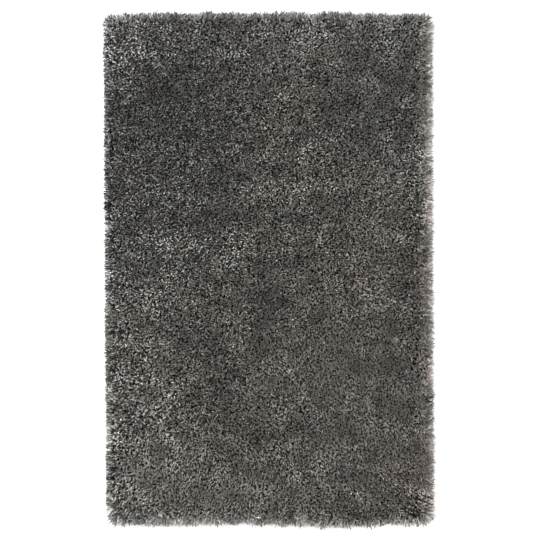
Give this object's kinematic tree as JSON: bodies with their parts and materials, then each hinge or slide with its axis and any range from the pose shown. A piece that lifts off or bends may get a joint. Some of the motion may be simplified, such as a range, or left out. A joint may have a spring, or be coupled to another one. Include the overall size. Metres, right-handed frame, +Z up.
{
  "type": "shag rug",
  "caption": "Rectangular deep-pile shag rug in mottled charcoal and grey yarn, lying flat, with a lumpy top, soft shoulders and loose yarn locks round its rim.",
  "frame": {"origin": "on the floor, under the middle of the rug's outline", "axes": "+X across the rug's width, +Y along its length, towards the end at the top of the picture, +Z up out of the pile"},
  "size_m": [1.5647, 2.4286, 0.0462],
  "materials": {
    "pile_yarn": "soft cut-pile yarn in charcoal, mid grey, silver and a little taupe, with a faint satin sheen"
  },
  "bodies": {
    "root": {"shag_rug": "pile_yarn"}
  },
  "joints": []
}
